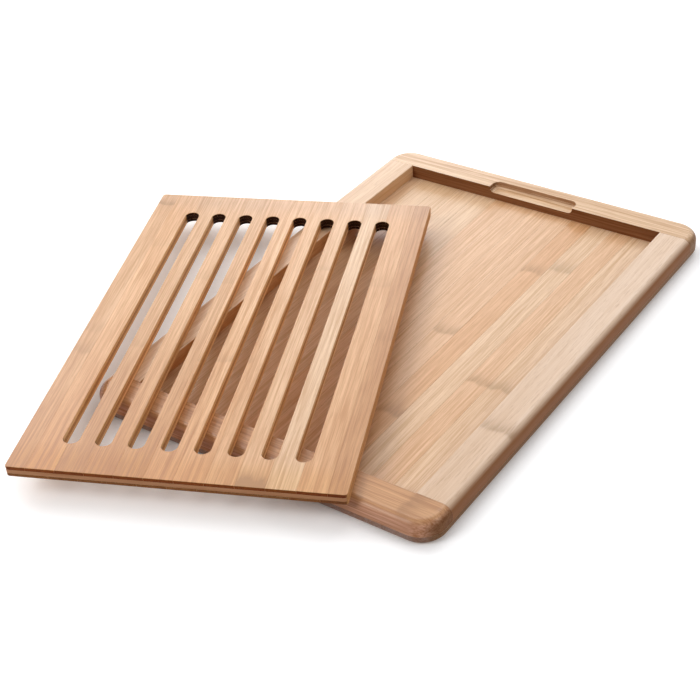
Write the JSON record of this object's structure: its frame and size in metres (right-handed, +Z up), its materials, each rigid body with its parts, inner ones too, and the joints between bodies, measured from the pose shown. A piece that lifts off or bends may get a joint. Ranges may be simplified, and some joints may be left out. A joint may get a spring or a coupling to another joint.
{
  "type": "bread board",
  "caption": "Bamboo bread board: a shallow tray with rounded rails and a finger scoop, and a slatted grid that lifts out, so that crumbs fall through its slots into the tray.",
  "frame": {"origin": "centre of the tray's underside, on the surface that the tray stands on", "axes": "+Z up; +Y along the tray, to the end with the finger scoop; +X to the right, seen from the end without the scoop"},
  "size_m": [0.3969, 0.4938, 0.0262],
  "materials": {
    "bamboo_base": "light bamboo, glued staves with the grain along +Y, satin",
    "bamboo_rail": "light bamboo strips, rounded and sanded, satin",
    "bamboo_grid": "light bamboo, glued staves with fine grain and darker node marks, satin",
    "bamboo_core": "light bamboo, grain across the grid, seen only at the grid's edges and in its slots"
  },
  "bodies": {
    "tray": {"base_stave_01": "bamboo_base", "base_stave_02": "bamboo_base", "base_stave_03": "bamboo_base", "base_stave_04": "bamboo_base", "base_stave_05": "bamboo_base", "base_stave_06": "bamboo_base", "base_stave_07": "bamboo_base", "base_stave_08": "bamboo_base", "base_stave_09": "bamboo_base", "base_stave_10": "bamboo_base", "base_stave_11": "bamboo_base", "base_stave_12": "bamboo_base", "base_stave_13": "bamboo_base", "base_stave_14": "bamboo_base", "base_stave_15": "bamboo_base", "base_stave_16": "bamboo_base", "rail_left": "bamboo_rail", "rail_right": "bamboo_rail", "rail_front": "bamboo_rail", "rail_back": "bamboo_rail"},
    "grid": {"grid_top_stave_01": "bamboo_grid", "grid_top_stave_02": "bamboo_grid", "grid_top_stave_03": "bamboo_grid", "grid_top_stave_04": "bamboo_grid", "grid_top_stave_05": "bamboo_grid", "grid_top_stave_06": "bamboo_grid", "grid_top_stave_07": "bamboo_grid", "grid_top_stave_08": "bamboo_grid", "grid_top_stave_09": "bamboo_grid", "grid_top_stave_10": "bamboo_grid", "grid_top_stave_11": "bamboo_grid", "grid_top_stave_12": "bamboo_grid", "grid_core_front": "bamboo_core", "grid_core_slat_01": "bamboo_core", "grid_core_slat_02": "bamboo_core", "grid_core_slat_03": "bamboo_core", "grid_core_slat_04": "bamboo_core", "grid_core_slat_05": "bamboo_core", "grid_core_slat_06": "bamboo_core", "grid_core_slat_07": "bamboo_core", "grid_core_slat_08": "bamboo_core", "grid_core_slat_09": "bamboo_core", "grid_core_back": "bamboo_core", "grid_bottom_stave_01": "bamboo_grid", "grid_bottom_stave_02": "bamboo_grid", "grid_bottom_stave_03": "bamboo_grid", "grid_bottom_stave_04": "bamboo_grid", "grid_bottom_stave_05": "bamboo_grid", "grid_bottom_stave_06": "bamboo_grid", "grid_bottom_stave_07": "bamboo_grid", "grid_bottom_stave_08": "bamboo_grid", "grid_bottom_stave_09": "bamboo_grid", "grid_bottom_stave_10": "bamboo_grid", "grid_bottom_stave_11": "bamboo_grid", "grid_bottom_stave_12": "bamboo_grid"}
  },
  "joints": [
    {"name": "grid_lift", "type": "slide", "parent": "tray", "child": "grid", "axis": [0, 0, 1], "range_m": [0, 0.15]}
  ]
}
